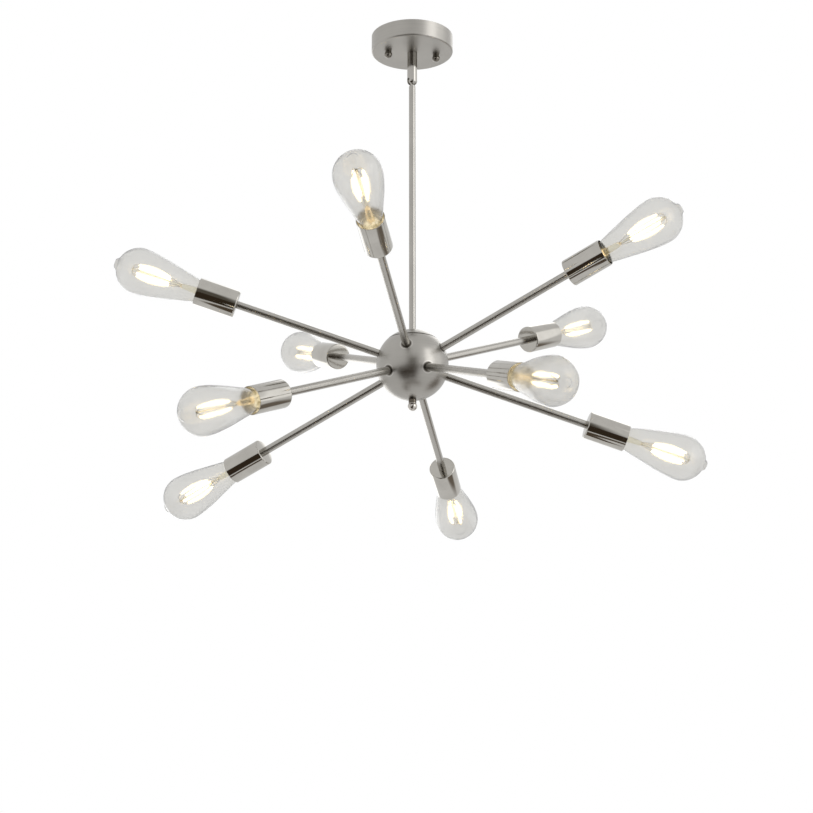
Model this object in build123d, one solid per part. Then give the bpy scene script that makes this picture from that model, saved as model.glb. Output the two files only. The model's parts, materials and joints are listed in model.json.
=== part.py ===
from build123d import *
import os
from math import sin, cos, radians, sqrt

# Sputnik chandelier: a canopy on the ceiling, a hang-straight swivel, a stem, a hollow ball,
# and ten arms with a socket cup and a clear teardrop bulb each.
# Millimetres. The ceiling is z = 0, +X runs along the two canopy studs, everything hangs down.

# --- driving dimensions ---------------------------------------------------------------------
CUT_PAST = 1.0                # a hole or a slot is cut this far past the faces it goes through

BAR_WIDTH = 22.0              # cross bar on the ceiling box
BAR_THICK = 2.5
BAR_FLANGE = 4.0              # depth of the two stiffening flanges below the bar
FLANGE_THICK = 1.5
BAR_END_ROOM = 5.3            # from the bar's end to the canopy's wall
SLOT_TO_END = 2.55            # from a box screw's slot to the bar's end
STUD_TO_SLOT = 4.525          # from a stud's centre to that slot
BOX_SLOT_RADIUS = 2.3
BOX_SLOT_LENGTH = 10.0
WIRE_HOLE_RADIUS = 5.3
STUD_RADIUS = 2.0
STUD_REACH = 6.5              # stud below the canopy's bottom face
GROUND_X = 18.0               # earth screw's place along the bar
GROUND_RADIUS = 1.65
GROUND_HEAD = 3.4             # radius of its head
GROUND_HEAD_HEIGHT = 2.2
GROUND_SLOT_WIDTH = 0.9
GROUND_SLOT_DEPTH = 0.9
THREAD_END = 0.4              # chamfer on the ends of threaded rods

CANOPY_DIA = 117.0
CANOPY_HEIGHT = 25.0
CANOPY_WALL = 1.2
CANOPY_EDGE = 2.5             # rounding of the pressed bottom edge
BALL_NUT_RADIUS = 5.5
BALL_NUT_COLLAR = 4.5         # collar radius
BALL_NUT_COLLAR_HEIGHT = 0.8
SINK_SHARE = 0.8              # a knob's ball is centred this share of its radius below its collar

SWIVEL_RADIUS = 7.25
SWIVEL_SEAT_DROP = 44.0       # canopy's bottom face down to the centre of the ball joint
SLOT_AZIMUTH = 200.0          # the side the swivel's slot opens to, in degrees from +X
SLOT_RADIUS = 3.2
MOUTH_RADIUS = 3.6            # hole in the bottom of the cup that the neck hangs through
NIPPLE_RADIUS = 5.0
NIPPLE_BORE = 3.0
NIPPLE_REACH = 8.0            # nipple above the canopy's floor
PLUG_LENGTH = 14.0            # lower, wider thread of the nipple, in the top of the cup
WASHER_RADIUS = 10.0
WASHER_THICK = 1.0
LOCK_NUT_FLATS = 14.0
LOCK_NUT_HEIGHT = 3.0
BEVEL_SHARE = 0.06            # bevel on a nut's corners as a share of its width across flats
KNUCKLE_RADIUS = 5.5
NECK_RADIUS = 2.8
NECK_LENGTH = 8.7             # ball centre down to the top of the stem
STUB_LENGTH = 12.0            # thread of the ball stud inside the stem
KNUCKLE_BORE = 1.7

STEM_RADIUS = 4.75
STEM_BORE = 3.55
STEM_CHAMFER = 0.3
HUB_DROP = 472.0              # canopy's bottom face down to the centre of the ball
HUB_RADIUS = 50.0
HUB_WALL = 1.5
SEAM_LATITUDE = 45.0          # where the cap meets the ball, in degrees above its equator
SEAM_CHAMFER = 0.7
CAP_SKIRT_HEIGHT = 4.0        # ring inside the cap that centres it in the shell
CAP_SKIRT_WALL = 1.2
SPINDLE_RADIUS = 3.5
SPINDLE_BORE = 2.3
SPINDLE_GRIP = 12.0           # spindle inside the stem
FINIAL_GRIP = 6.0             # spindle inside the finial
WINDOW_HEIGHT = 14.0          # the spindle's wire window
WINDOW_WIDTH = 3.0
FINIAL_RADIUS = 6.5
FINIAL_COLLAR = 5.4
FINIAL_COLLAR_HEIGHT = 4.5

ARM_PAIRS = 5                 # straight-through pairs: one end rises, the other falls
FIRST_AZIMUTH = 33.9          # of the first rising arm, in degrees from +X
ARM_ELEVATION = 19.5          # degrees
LEAN_ANGLE = 2.2              # degrees that the arm pattern sits off level on its stem
LEAN_AZIMUTH = 259.5          # direction of the axis that it leans about, in degrees
ARM_RADIUS = 5.5
ARM_BORE = 3.0
ARM_CHAMFER = 0.3
ARM_SEAT_RADIUS = 7.0         # flat pressed in the ball round each arm
SPIGOT_RADIUS = 4.45          # threaded ends of an arm
HUB_SPIGOT = 9.3
CUP_SPIGOT = 12.0
ARM_NUT_FLATS = 13.0
ARM_NUT_HEIGHT = 3.5
CUP_START = 256.0             # centre of the ball out to the back of a cup
CUP_LENGTH = 58.0
CUP_RADIUS = 19.0
CUP_WALL = 0.9
CUP_BACK = 1.2
CUP_ROUNDING = 2.0            # at the edge of the cup's back
LIP_ROUNDING = 0.3            # at its mouth

HOLDER_RADIUS = 16.5
HOLDER_RECESS = 10.0          # rim of the cup in to the face of the lampholder
HOLDER_BORE = 14.1
HOLDER_FLOOR = 18.3           # back of the lampholder out to the floor of its bore
HOLDER_BACK_PLATE = 3.5
HOLDER_BORE_PLATE = 4.5       # ceramic under the floor of the bore
HOLDER_WALL = 4.0             # round the wiring space behind that
HOLDER_BEVEL = 1.5            # at its back
HOLDER_FACE_BEVEL = 1.0
HOLDER_BORE_BEVEL = 0.4
RIVET_RADIUS = 1.6
SHELL_WALL = 0.45
SHELL_FLANGE = 8.0            # inner radius of the screw shell's bottom flange
SHELL_RADIUS = 13.95
SHELL_BELOW_SKIRT = 1.0       # screw shell's rim below the bulb's skirt
CONTACT_RADIUS = 3.2
CONTACT_PLATE = 0.8

THREAD_PITCH = 25.4 / 7       # medium screw base, seven threads to the inch
THREAD_CREST = 13.0
THREAD_ROOT = 12.2
THREAD_TURNS = 4
THREAD_FLAT = 0.35            # half the flat on a rolled crest
SKIRT_RADIUS = 13.3
SKIRT_LENGTH = 6.0
SKIRT_PROUD = 1.5             # skirt out of the lampholder's face
BASE_WALL = 1.0
BULB_SEAT = 2.0               # floor of the bore out to the bulb's centre contact
BUTTON_RADIUS = 4.3
BUTTON_HEIGHT = 1.2
BUTTON_ROUNDING = 0.5
INSULATOR_RADIUS = 9.5
INSULATOR_HEIGHT = 3.8
THREAD_START = 5.0            # end of the bulb up to the first thread
BULB_RADIUS = 32.0
BULB_TIP = 433.0              # centre of the ball out to the pip of a bulb
PIP_HEIGHT = 3.5
PIP_FOOT = 10.5               # radius where the pip blends into the dome
PIP_WAIST = 7.2               # and this far below its tip
PIP_WAIST_DROP = 2.6
PIP_CROWN = 5.2               # and at the edge of its blunt end
PIP_CROWN_DROP = 0.6
GLASS_WALL = 0.9
GLASS_NECK = 12.75            # glass radius inside the base's skirt
GLASS_NECK_SLOPE = 0.36       # how fast the glass widens there, in radius per length
GLASS_AT_RIM = 15.8           # glass radius where it leaves the cup
GLASS_AT_THIRD = 22.5         # and a third and two thirds of the way to its widest ring
GLASS_AT_TWO_THIRDS = 28.6
MOUNT_FOOT = 2.5              # height of the rim that is fused into the neck
MOUNT_WAIST = 4.5             # radius of the glass stem above its flared foot
MOUNT_WAIST_HEIGHT = 12.0
PRESS_RADIUS = 3.5            # pinched top of the stem
PRESS_HEIGHT = 338.0
POST_RADIUS = 1.2
FILAMENTS = 4
FILAMENT_RADIUS = 1.2
FILAMENT_LOW = 353.0          # the filament sticks stand between these two heights
FILAMENT_HIGH = 400.0
FILAMENT_LOW_RADIUS = 6.0     # and lean out a little from one to the other
FILAMENT_HIGH_RADIUS = 8.5
WIRE_RADIUS = 0.4
WIRE_INSET = 1.0              # from a stick's end to its wire
WIRE_START = 2.0              # from the top of the stem or the post to where its wires leave
POST_PROUD = 9.0              # post above the sticks

# --- clearances -----------------------------------------------------------------------------
THREAD_GAP = 0.05             # between threaded pieces that are drawn plain
TURN_GAP = 0.10               # radial, nipple in the canopy
FACE_GAP = 0.05               # axial, swivel on the canopy
SEAT_GAP = 0.05               # radial, ball in its seat
STUD_HOLE_GAP = 0.5
SEAM_GAP = 0.2                # radial, the cap's skirt in the shell
CONTACT_GAP = 0.1             # axial, bulb on the socket's contact
FUSE_GAP = 0.03               # radial, filament stem in the neck of the glass

# --- places worked out from them ------------------------------------------------------------
CANOPY_BOTTOM = -CANOPY_HEIGHT
CANOPY_FLOOR = CANOPY_BOTTOM + CANOPY_WALL
SWIVEL_TOP = CANOPY_BOTTOM - FACE_GAP
NIPPLE_TOP = CANOPY_FLOOR + NIPPLE_REACH
BAR_HALF = CANOPY_DIA / 2 - CANOPY_WALL - BAR_END_ROOM
SLOT_X = BAR_HALF - SLOT_TO_END - BOX_SLOT_LENGTH / 2       # 3 1/2 in between the ceiling box's screws
STUD_X = SLOT_X - BOX_SLOT_LENGTH / 2 - STUD_TO_SLOT        # 2 3/4 in between the canopy's studs
SEAT_RADIUS = KNUCKLE_RADIUS + SEAT_GAP
SEAT_Z = CANOPY_BOTTOM - SWIVEL_SEAT_DROP
STEM_TOP = SEAT_Z - NECK_LENGTH
HUB = Vector(0, 0, CANOPY_BOTTOM - HUB_DROP)
SEAM_HEIGHT = HUB_RADIUS * sin(radians(SEAM_LATITUDE))
SEAM_RADIUS = HUB_RADIUS * cos(radians(SEAM_LATITUDE))
SEAM_INNER = sqrt((HUB_RADIUS - HUB_WALL)**2 - SEAM_HEIGHT**2)
SPINDLE_HOLE = SPINDLE_RADIUS + THREAD_GAP
HUB_FACE = sqrt(HUB_RADIUS**2 - SPINDLE_HOLE**2)    # height of the ball's surface at that hole
SPIGOT_HOLE = SPIGOT_RADIUS + THREAD_GAP
ARM_SHOULDER = sqrt(HUB_RADIUS**2 - ARM_SEAT_RADIUS**2)
HOLDER_BACK = CUP_START + CUP_BACK
HOLDER_FACE = CUP_START + CUP_LENGTH - HOLDER_RECESS
BORE_FLOOR = HOLDER_BACK + HOLDER_FLOOR
CUP_RIM = CUP_START + CUP_LENGTH
BULB_CENTRE = BULB_TIP - PIP_HEIGHT - BULB_RADIUS
BULB_END = BORE_FLOOR + BULB_SEAT
SKIRT_TOP = HOLDER_FACE + SKIRT_PROUD
SKIRT_START = SKIRT_TOP - SKIRT_LENGTH

os.makedirs("parts", exist_ok=True)


# --- shapes used all over -------------------------------------------------------------------
def rod(radius, low, high):
    """Plain round bar on the Z axis between two heights."""
    return Pos(0, 0, (low + high) / 2) * Cylinder(radius, high - low)


def tube(outer, inner, low, high):
    return rod(outer, low, high) - rod(inner, low, high)


def turned(*outline):
    """Solid of revolution about Z from its (radius, height) corners."""
    return revolve(Plane.XZ * make_face(Polyline(*outline, close=True)), Axis.Z)


def hex_nut(across_flats, bore, low, high):
    blank = Pos(0, 0, low) * extrude(RegularPolygon(across_flats / 2, 6, major_radius=False), high - low)
    corner = across_flats / sqrt(3)
    bevel = BEVEL_SHARE * across_flats
    barrel = turned((0, low), (corner - bevel, low), (corner, low + bevel / 2),
                    (corner, high - bevel / 2), (corner - bevel, high), (0, high))
    return (blank & barrel) - rod(bore, low - CUT_PAST, high + CUT_PAST)


def knob(collar, collar_height, radius, bore, bore_depth):
    """Collar with a ball under it, its flat top on z = 0, drilled from above."""
    centre = -collar_height - SINK_SHARE * radius
    body = rod(collar, centre, 0) + Pos(0, 0, centre) * Sphere(radius)
    return body - rod(bore, -bore_depth, CUT_PAST)


def circles_at(shape, radius, height):
    """Round edges of that radius at that height, for a rounding or a chamfer."""
    return [e for e in shape.edges().filter_by(GeomType.CIRCLE)
            if abs(e.radius - radius) < 0.01 and abs(e.center().Z - height) < 0.01]


def save(shape, name):
    export_step(shape, f"parts/{name}.step")


# --- fixing to the ceiling ------------------------------------------------------------------
def mounting_bracket():
    """Cross bar with two turned-down flanges, slotted for the ceiling box's screws."""
    below = -BAR_THICK - CUT_PAST
    bar = Pos(0, 0, -BAR_THICK / 2) * Box(2 * BAR_HALF, BAR_WIDTH, BAR_THICK)
    side = BAR_WIDTH / 2 - FLANGE_THICK / 2
    depth = BAR_THICK + BAR_FLANGE
    for y in (-side, side):
        bar += Pos(0, y, -depth / 2) * Box(2 * BAR_HALF, FLANGE_THICK, depth)
    bar -= rod(WIRE_HOLE_RADIUS, below, CUT_PAST)
    bar -= Pos(GROUND_X, 0, 0) * rod(GROUND_RADIUS + THREAD_GAP, below, CUT_PAST)
    slot = extrude(SlotOverall(BOX_SLOT_LENGTH, 2 * BOX_SLOT_RADIUS), CUT_PAST - below)
    for side in (-1, 1):
        bar -= Pos(side * SLOT_X, 0, below) * slot
        bar -= Pos(side * STUD_X, 0, 0) * rod(STUD_RADIUS + THREAD_GAP, below, CUT_PAST)
    return bar


def ground_screw():
    """Slotted screw under the bar that clamps the earth wire."""
    head_low = -BAR_THICK - GROUND_HEAD_HEIGHT
    screw = rod(GROUND_RADIUS, -BAR_THICK, 0) + rod(GROUND_HEAD, head_low, -BAR_THICK)
    screw = chamfer(circles_at(screw, GROUND_HEAD, head_low), THREAD_END)
    screw -= Pos(0, 0, head_low) * Box(2 * GROUND_HEAD, GROUND_SLOT_WIDTH, 2 * GROUND_SLOT_DEPTH)
    return Pos(GROUND_X, 0, 0) * screw


def canopy_studs():
    stud = chamfer(rod(STUD_RADIUS, CANOPY_BOTTOM - STUD_REACH, 0).edges(), THREAD_END)
    return Compound([Pos(side * STUD_X, 0, 0) * stud for side in (-1, 1)])


def canopy():
    """Pressed pan: open at the ceiling, flat bottom with three holes."""
    outer = CANOPY_DIA / 2
    inner = outer - CANOPY_WALL
    pan = rod(outer, CANOPY_BOTTOM, 0) - rod(inner, CANOPY_FLOOR, CUT_PAST)
    pan = fillet(circles_at(pan, outer, CANOPY_BOTTOM), CANOPY_EDGE)
    pan = fillet(circles_at(pan, inner, CANOPY_FLOOR), CANOPY_EDGE - CANOPY_WALL)
    below = CANOPY_BOTTOM - CUT_PAST
    above = CANOPY_FLOOR + CUT_PAST
    pan -= rod(NIPPLE_RADIUS + TURN_GAP, below, above)
    for side in (-1, 1):
        pan -= Pos(side * STUD_X, 0, 0) * rod(STUD_RADIUS + STUD_HOLE_GAP, below, above)
    return pan


def canopy_ball_nuts():
    """Round nuts on the studs that pull the canopy up."""
    nut = knob(BALL_NUT_COLLAR, BALL_NUT_COLLAR_HEIGHT, BALL_NUT_RADIUS,
               STUD_RADIUS + THREAD_GAP, STUD_REACH + CUT_PAST)
    return Compound([Pos(side * STUD_X, 0, CANOPY_BOTTOM) * nut for side in (-1, 1)])


# --- hang-straight swivel -------------------------------------------------------------------
def swivel_cup():
    """Tube with a rounded end: the ball sits in it, a slot lets the neck swing out one way."""
    body = rod(SWIVEL_RADIUS, SEAT_Z, SWIVEL_TOP) + Pos(0, 0, SEAT_Z) * Sphere(SWIVEL_RADIUS)
    body = chamfer(circles_at(body, SWIVEL_RADIUS, SWIVEL_TOP), THREAD_END)
    body -= rod(SEAT_RADIUS, SEAT_Z, SWIVEL_TOP + CUT_PAST) + Pos(0, 0, SEAT_Z) * Sphere(SEAT_RADIUS)
    body -= rod(MOUTH_RADIUS, SEAT_Z - 2 * SWIVEL_RADIUS, SEAT_Z)
    reach = 2 * SWIVEL_RADIUS
    slot = Pos(reach / 2, 0, -reach / 2) * Box(reach, 2 * SLOT_RADIUS, reach)
    slot += Pos(reach / 2, 0, 0) * Rot(0, 90, 0) * Cylinder(SLOT_RADIUS, reach)
    return body - Pos(0, 0, SEAT_Z) * Rot(0, 0, SLOT_AZIMUTH) * slot


def swivel_nipple():
    """Hollow threaded plug: its wide end closes the cup, its narrow end goes up the canopy."""
    plug = rod(SEAT_RADIUS - THREAD_GAP, SWIVEL_TOP - PLUG_LENGTH, SWIVEL_TOP)
    nipple = plug + rod(NIPPLE_RADIUS, SWIVEL_TOP, NIPPLE_TOP)
    nipple = chamfer(circles_at(nipple, NIPPLE_RADIUS, NIPPLE_TOP), THREAD_END)
    return nipple - rod(NIPPLE_BORE, SWIVEL_TOP - PLUG_LENGTH - CUT_PAST, NIPPLE_TOP + CUT_PAST)


def swivel_washer():
    low = CANOPY_FLOOR + FACE_GAP
    return tube(WASHER_RADIUS, NIPPLE_RADIUS + THREAD_GAP, low, low + WASHER_THICK)


def swivel_lock_nut():
    low = CANOPY_FLOOR + FACE_GAP + WASHER_THICK
    return hex_nut(LOCK_NUT_FLATS, NIPPLE_RADIUS + THREAD_GAP, low, low + LOCK_NUT_HEIGHT)


# --- stem and ball --------------------------------------------------------------------------
def stem_knuckle():
    """Ball stud: the ball hangs in the swivel, the stub screws into the stem."""
    stud = Pos(0, 0, SEAT_Z) * Sphere(KNUCKLE_RADIUS) + rod(NECK_RADIUS, STEM_TOP, SEAT_Z)
    stud += rod(STEM_BORE - THREAD_GAP, STEM_TOP - STUB_LENGTH, STEM_TOP)
    return stud - rod(KNUCKLE_BORE, STEM_TOP - STUB_LENGTH - CUT_PAST, SEAT_Z + 2 * KNUCKLE_RADIUS)


def stem_rod():
    stem = tube(STEM_RADIUS, STEM_BORE, HUB.Z + HUB_FACE, STEM_TOP)
    return chamfer(circles_at(stem, STEM_RADIUS, STEM_TOP), STEM_CHAMFER)


def hub_spindle():
    """Threaded pipe through the ball: stem above, finial below, a window for the wires."""
    top = HUB_FACE + SPINDLE_GRIP
    low = -HUB_FACE - FINIAL_GRIP
    pipe = rod(SPINDLE_RADIUS, low, top) - rod(SPINDLE_BORE, -WINDOW_HEIGHT, top + CUT_PAST)
    pipe -= Box(3 * SPINDLE_RADIUS, WINDOW_WIDTH, WINDOW_HEIGHT)
    return Pos(HUB) * pipe


def ball_wall():
    """Whole hollow ball about the origin with the spindle's two holes."""
    wall = Sphere(HUB_RADIUS) - Sphere(HUB_RADIUS - HUB_WALL)
    return wall - rod(SPINDLE_HOLE, -2 * HUB_RADIUS, 2 * HUB_RADIUS)


def above_seam():
    side = 4 * HUB_RADIUS
    return Pos(0, 0, SEAM_HEIGHT + side / 2) * Box(side, side, side)


def hub_shell(arm_places):
    """The ball below the seam, with a flat seat and a hole for each arm."""
    shell = ball_wall() - above_seam()
    shell = chamfer(circles_at(shell, SEAM_RADIUS, SEAM_HEIGHT), SEAM_CHAMFER)
    shell = Pos(HUB) * shell
    hole = rod(SPIGOT_HOLE, HUB_RADIUS / 2, 2 * HUB_RADIUS)
    hole += rod(ARM_SEAT_RADIUS, ARM_SHOULDER, 2 * HUB_RADIUS)
    for place in arm_places:
        shell -= place * hole
    return shell


def hub_cap():
    """Dome that closes the ball, with a skirt that centres it in the opening."""
    cap = ball_wall() & above_seam()
    cap = chamfer(circles_at(cap, SEAM_RADIUS, SEAM_HEIGHT), SEAM_CHAMFER)
    skirt_outer = SEAM_INNER - SEAM_GAP
    skirt_inner = skirt_outer - CAP_SKIRT_WALL
    cap += tube(skirt_outer, skirt_inner, SEAM_HEIGHT - CAP_SKIRT_HEIGHT, SEAM_HEIGHT + HUB_WALL / 2)
    return Pos(HUB) * cap


def finial():
    """Polished knob on the end of the spindle that pulls the stem and the ball together."""
    body = knob(FINIAL_COLLAR, FINIAL_COLLAR_HEIGHT, FINIAL_RADIUS,
                SPINDLE_RADIUS + THREAD_GAP, FINIAL_GRIP + CUT_PAST)
    return Pos(0, 0, HUB.Z - HUB_FACE) * body


# --- arms, each drawn on its own axis: heights are distances from the centre of the ball -----
def arm():
    """Tube between the ball and a cup, with a turned-down thread at both ends."""
    body = rod(ARM_RADIUS, ARM_SHOULDER, CUP_START)
    body = chamfer(body.edges().filter_by(GeomType.CIRCLE), ARM_CHAMFER)
    body += rod(SPIGOT_RADIUS, ARM_SHOULDER - HUB_SPIGOT, CUP_START + CUP_SPIGOT)
    return body - rod(ARM_BORE, 0, BULB_TIP)


def arm_nut():
    """Nut on the arm's thread inside the ball, its corners against the wall."""
    corner = ARM_NUT_FLATS / sqrt(3)
    top = sqrt((HUB_RADIUS - HUB_WALL)**2 - corner**2) - THREAD_GAP
    return hex_nut(ARM_NUT_FLATS, SPIGOT_RADIUS + THREAD_GAP, top - ARM_NUT_HEIGHT, top)


def socket_cup():
    """Drawn metal cup: flat back with a rounded edge, open front."""
    inner = CUP_RADIUS - CUP_WALL
    cup = rod(CUP_RADIUS, CUP_START, CUP_RIM) - rod(inner, HOLDER_BACK, CUP_RIM + CUT_PAST)
    cup = fillet(circles_at(cup, CUP_RADIUS, CUP_START), CUP_ROUNDING)
    cup = fillet(circles_at(cup, inner, HOLDER_BACK), CUP_ROUNDING - CUP_WALL)
    cup = fillet(circles_at(cup, CUP_RADIUS, CUP_RIM), LIP_ROUNDING)
    return cup - rod(SPIGOT_HOLE, CUP_START - CUT_PAST, HOLDER_BACK + CUT_PAST)


def lampholder():
    """Ceramic body screwed onto the arm's end, which clamps the cup behind it."""
    back_plate = HOLDER_BACK + HOLDER_BACK_PLATE
    cavity = HOLDER_RADIUS - HOLDER_WALL
    cavity_top = BORE_FLOOR - HOLDER_BORE_PLATE
    return turned((SPIGOT_HOLE, HOLDER_BACK), (HOLDER_RADIUS - HOLDER_BEVEL, HOLDER_BACK),
                  (HOLDER_RADIUS, HOLDER_BACK + HOLDER_BEVEL),
                  (HOLDER_RADIUS, HOLDER_FACE - HOLDER_FACE_BEVEL),
                  (HOLDER_RADIUS - HOLDER_FACE_BEVEL, HOLDER_FACE),
                  (HOLDER_BORE + HOLDER_BORE_BEVEL, HOLDER_FACE),
                  (HOLDER_BORE, HOLDER_FACE - HOLDER_BORE_BEVEL), (HOLDER_BORE, BORE_FLOOR),
                  (RIVET_RADIUS, BORE_FLOOR), (RIVET_RADIUS, cavity_top),
                  (cavity, cavity_top), (cavity, back_plate), (SPIGOT_HOLE, back_plate))


def socket_shell():
    """Brass sleeve that takes the bulb's thread."""
    inner = SHELL_RADIUS - SHELL_WALL
    rim = SKIRT_START - SHELL_BELOW_SKIRT
    return turned((SHELL_FLANGE, BORE_FLOOR), (SHELL_RADIUS, BORE_FLOOR), (SHELL_RADIUS, rim),
                  (inner, rim), (inner, BORE_FLOOR + SHELL_WALL), (SHELL_FLANGE, BORE_FLOOR + SHELL_WALL))


def socket_contact():
    """Brass centre contact, riveted through the lampholder's floor."""
    rivet = RIVET_RADIUS - THREAD_GAP
    rivet_end = BORE_FLOOR - HOLDER_BORE_PLATE
    top = BULB_END - CONTACT_GAP
    return turned((0, rivet_end), (rivet, rivet_end), (rivet, BORE_FLOOR), (CONTACT_RADIUS, BORE_FLOOR),
                  (CONTACT_RADIUS, BORE_FLOOR + CONTACT_PLATE), (CONTACT_RADIUS / 2, top), (0, top))


# --- bulb -----------------------------------------------------------------------------------
def bulb_base():
    """Screw cap: centre button, insulator, threaded shell and the skirt round the glass."""
    thread_low = BULB_END + THREAD_START
    outline = [(0, BULB_END), (BUTTON_RADIUS - BUTTON_ROUNDING, BULB_END),
               (BUTTON_RADIUS, BULB_END + BUTTON_ROUNDING), (BUTTON_RADIUS, BULB_END + BUTTON_HEIGHT),
               (INSULATOR_RADIUS, BULB_END + INSULATOR_HEIGHT), (THREAD_ROOT, thread_low)]
    for turn in range(THREAD_TURNS):
        crest = thread_low + (turn + 0.5) * THREAD_PITCH
        outline += [(THREAD_CREST, crest - THREAD_FLAT), (THREAD_CREST, crest + THREAD_FLAT),
                    (THREAD_ROOT, crest + THREAD_PITCH / 2)]
    pocket = GLASS_NECK + TURN_GAP
    hollow = THREAD_ROOT - BASE_WALL
    floor = thread_low + 2 * BASE_WALL
    outline += [(SKIRT_RADIUS, SKIRT_START), (SKIRT_RADIUS, SKIRT_TOP), (pocket, SKIRT_TOP),
                (pocket, SKIRT_START), (hollow, SKIRT_START), (hollow, floor), (0, floor)]
    return turned(*outline)


def glass_flank(inset):
    """Curve from the neck to the widest ring of the glass, moved in by inset."""
    return Spline((GLASS_NECK - inset, SKIRT_TOP), (GLASS_AT_RIM - inset, CUP_RIM),
                  (GLASS_AT_THIRD - inset, CUP_RIM + (BULB_CENTRE - CUP_RIM) / 3),
                  (GLASS_AT_TWO_THIRDS - inset, CUP_RIM + (BULB_CENTRE - CUP_RIM) * 2 / 3),
                  (BULB_RADIUS - inset, BULB_CENTRE), tangents=[(GLASS_NECK_SLOPE, 1), (0, 1)])


def bulb_glass():
    """Blown teardrop with the sealed-off pip at its tip."""
    inner = BULB_RADIUS - GLASS_WALL
    neck_start = SKIRT_START + FACE_GAP
    pip_low = BULB_CENTRE + sqrt(BULB_RADIUS**2 - PIP_FOOT**2)
    dome_end = (BULB_CENTRE - pip_low, PIP_FOOT)
    outside = [
        Line((GLASS_NECK, neck_start), (GLASS_NECK, SKIRT_TOP)),
        glass_flank(0),
        RadiusArc((BULB_RADIUS, BULB_CENTRE), (PIP_FOOT, pip_low), -BULB_RADIUS),
        Spline((PIP_FOOT, pip_low), (PIP_WAIST, BULB_TIP - PIP_WAIST_DROP),
               (PIP_CROWN, BULB_TIP - PIP_CROWN_DROP), (0, BULB_TIP), tangents=[dome_end, (-1, 0)]),
    ]
    inside = [
        Line((0, BULB_TIP), (0, BULB_CENTRE + inner)),
        RadiusArc((0, BULB_CENTRE + inner), (inner, BULB_CENTRE), inner),
        glass_flank(GLASS_WALL),
        Line((GLASS_NECK - GLASS_WALL, SKIRT_TOP), (GLASS_NECK - GLASS_WALL, neck_start)),
        Line((GLASS_NECK - GLASS_WALL, neck_start), (GLASS_NECK, neck_start)),
    ]
    return revolve(Plane.XZ * make_face(outside + inside), Axis.Z)


def filament_mount():
    """Glass stem with its exhaust post, and four lit sticks on fine wires round the post."""
    foot = SKIRT_START + FACE_GAP
    flare = GLASS_NECK - GLASS_WALL - FUSE_GAP
    shoulder = PRESS_HEIGHT - PRESS_RADIUS
    post_top = FILAMENT_HIGH + POST_PROUD
    stem = turned((0, foot), (flare, foot), (flare, foot + MOUNT_FOOT),
                  (MOUNT_WAIST, foot + MOUNT_WAIST_HEIGHT), (PRESS_RADIUS, shoulder),
                  (POST_RADIUS, PRESS_HEIGHT), (POST_RADIUS, post_top), (0, post_top))
    stick = Edge.make_line((FILAMENT_LOW_RADIUS, 0, FILAMENT_LOW), (FILAMENT_HIGH_RADIUS, 0, FILAMENT_HIGH))
    start = Plane(origin=stick @ 0, z_dir=stick % 0)
    lit = extrude(start * Circle(FILAMENT_RADIUS), stick.length)
    for root, end in (((0, 0, PRESS_HEIGHT - WIRE_START), stick @ (WIRE_INSET / stick.length)),
                      ((0, 0, post_top - WIRE_START), stick @ (1 - WIRE_INSET / stick.length))):
        wire = Edge.make_line(root, end)
        lit += extrude(Plane(origin=root, z_dir=wire % 0) * Circle(WIRE_RADIUS), wire.length)
    for quarter in range(FILAMENTS):
        stem += Rot(0, 0, 45 + quarter * 360 / FILAMENTS) * lit
    return stem


# --- where the arms point -------------------------------------------------------------------
def arm_place(azimuth, elevation):
    """Location whose Z axis runs from the ball's centre out along an arm."""
    a = radians(azimuth)
    e = radians(elevation)
    out = Vector(cos(a) * cos(e), sin(a) * cos(e), sin(e))
    lean_axis = Axis((0, 0, 0), (cos(radians(LEAN_AZIMUTH)), sin(radians(LEAN_AZIMUTH)), 0))
    out = out.rotate(lean_axis, LEAN_ANGLE)
    level = Vector(0, 0, 1).cross(out)
    return Plane(origin=HUB, x_dir=level, z_dir=out).location


places = []
for pair in range(ARM_PAIRS):
    azimuth = FIRST_AZIMUTH + pair * 360 / ARM_PAIRS
    places.append(arm_place(azimuth, ARM_ELEVATION))
    places.append(arm_place(azimuth + 180, -ARM_ELEVATION))

save(mounting_bracket(), "mounting_bracket")
save(ground_screw(), "ground_screw")
save(canopy_studs(), "canopy_studs")
save(canopy(), "canopy")
save(canopy_ball_nuts(), "canopy_ball_nuts")
save(swivel_cup(), "swivel_cup")
save(swivel_nipple(), "swivel_nipple")
save(swivel_washer(), "swivel_washer")
save(swivel_lock_nut(), "swivel_lock_nut")
save(stem_knuckle(), "stem_knuckle")
save(stem_rod(), "stem_rod")
save(hub_spindle(), "hub_spindle")
save(hub_shell(places), "hub_shell")
save(hub_cap(), "hub_cap")
save(finial(), "finial")

for name, piece in (("arm_nuts", arm_nut()), ("socket_cups", socket_cup()), ("lampholders", lampholder()),
                    ("socket_shells", socket_shell()), ("socket_contacts", socket_contact())):
    save(Compound([place * piece for place in places]), name)

for name, piece in (("arm", arm()), ("bulb_base", bulb_base()), ("bulb_glass", bulb_glass()),
                    ("bulb_filament", filament_mount())):
    for number, place in enumerate(places, start=1):
        save(place * piece, f"{name}_{number}")
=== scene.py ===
import json
import bpy
from math import ceil, cos, pi, radians, sin, tan
from mathutils import Matrix, Vector


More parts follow.
